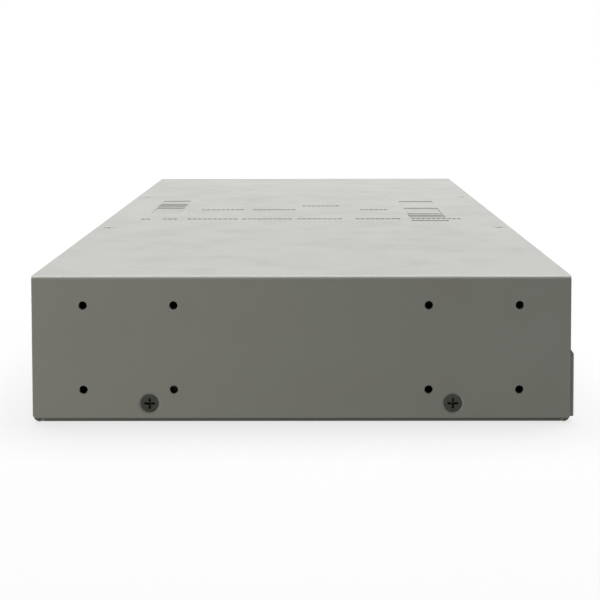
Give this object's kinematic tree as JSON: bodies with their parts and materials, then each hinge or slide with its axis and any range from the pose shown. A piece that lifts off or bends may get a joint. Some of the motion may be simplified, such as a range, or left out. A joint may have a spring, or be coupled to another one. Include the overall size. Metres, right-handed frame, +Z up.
{
  "type": "firewall appliance",
  "caption": "Low flat rack-height steel case with network sockets along the front, mains inlet, rocker switch and fans at the rear, and tapped holes for rack ears in both ends.",
  "frame": {"origin": "centre of the underside of the base", "axes": "+X along the width, +Y towards the rear (sockets face -Y), +Z up"},
  "size_m": [0.44, 0.1685, 0.044],
  "materials": {
    "powder_coat": "warm light grey powder coat, fine satin texture",
    "smoked_window": "smoked clear plastic",
    "black_screw": "black oxide",
    "plated_screw": "nickel plated",
    "zinc": "bright zinc plate",
    "green_board": "solder mask over glass-fibre laminate",
    "tan_board": "paper laminate",
    "jack_shield": "plated shield",
    "gold_contact": "gold plated",
    "link_lens": "tinted lens",
    "black_plastic": "moulded, satin",
    "button_plastic": "moulded",
    "clear_lens": "clear moulded",
    "chip_plastic": "epoxy package",
    "sink_aluminium": "extruded",
    "cell_steel": "plain",
    "capacitor_sleeve": "shrink sleeve",
    "ferrite": "sintered",
    "insulator_film": "film",
    "winding_tape": "wound and taped",
    "fuse_ceramic": "ceramic body",
    "plated_blade": "nickel plated brass",
    "rocker_plastic": "moulded, polished",
    "fan_plastic": "moulded",
    "copper_winding": "enamelled wire",
    "header_plastic": "natural nylon",
    "wire_sleeve": "insulation"
  },
  "bodies": {
    "chassis": {"base_tray": "powder_coat", "top_cover": "powder_coat", "port_fascia": "powder_coat", "indicator_window": "smoked_window", "cover_side_screws": "black_screw", "cover_top_screws": "plated_screw", "cover_nuts": "zinc", "ear_mount_nuts": "zinc", "main_board": "green_board", "board_standoffs": "zinc", "board_screws": "plated_screw", "lan_jack_block": "jack_shield", "wan_jack_block": "jack_shield", "dmz_jack": "jack_shield", "console_jack": "jack_shield", "jack_contacts": "gold_contact", "link_leds": "link_lens", "usb_shells": "jack_shield", "usb_tongues": "black_plastic", "reset_switch": "black_plastic", "status_leds": "clear_lens", "light_pipes": "clear_lens", "processor": "chip_plastic", "heatsink": "sink_aluminium", "heatsink_pins": "button_plastic", "memory_module": "green_board", "memory_socket": "black_plastic", "flash_module": "chip_plastic", "coin_cell": "cell_steel", "coin_cell_holder": "black_plastic", "line_transformers": "chip_plastic", "board_chips": "chip_plastic", "board_capacitors": "capacitor_sleeve", "board_coils": "ferrite", "psu_board": "tan_board", "psu_insulator": "insulator_film", "transformer_core": "ferrite", "transformer_winding": "winding_tape", "psu_capacitors": "capacitor_sleeve", "psu_heatsinks": "sink_aluminium", "psu_choke": "winding_tape", "mains_fuse": "fuse_ceramic", "mains_inlet": "black_plastic", "inlet_pins": "plated_blade", "inlet_screws": "plated_screw", "switch_housing": "black_plastic", "switch_terminals": "plated_blade", "earth_terminal": "zinc", "fan_frame_left": "black_plastic", "fan_frame_right": "black_plastic", "fan_stators": "copper_winding", "fan_screws": "plated_screw", "wire_headers": "header_plastic", "mains_leads": "wire_sleeve", "dc_harness": "wire_sleeve", "fan_leads": "wire_sleeve"},
    "rocker": {"switch_rocker": "rocker_plastic"},
    "reset": {"reset_button": "button_plastic"},
    "fan_left": {"fan_rotor_left": "fan_plastic"},
    "fan_right": {"fan_rotor_right": "fan_plastic"}
  },
  "joints": [
    {"name": "rocker_tilt", "type": "hinge", "parent": "chassis", "child": "rocker", "pos_m": [-0.142, 0.0775, 0.022], "axis": [1, 0, 0], "range_deg": [0, 16]},
    {"name": "reset_press", "type": "slide", "parent": "chassis", "child": "reset", "axis": [0, 1, 0], "range_m": [0, 0.0008], "stiffness_N_per_m": 800, "springref_m": -0.0005},
    {"name": "fan_left_spin", "type": "hinge", "parent": "chassis", "child": "fan_left", "pos_m": [0.06, 0.0595, 0.022], "axis": [0, 1, 0], "continuous": true},
    {"name": "fan_right_spin", "type": "hinge", "parent": "chassis", "child": "fan_right", "pos_m": [0.113, 0.0595, 0.022], "axis": [0, 1, 0], "continuous": true}
  ]
}
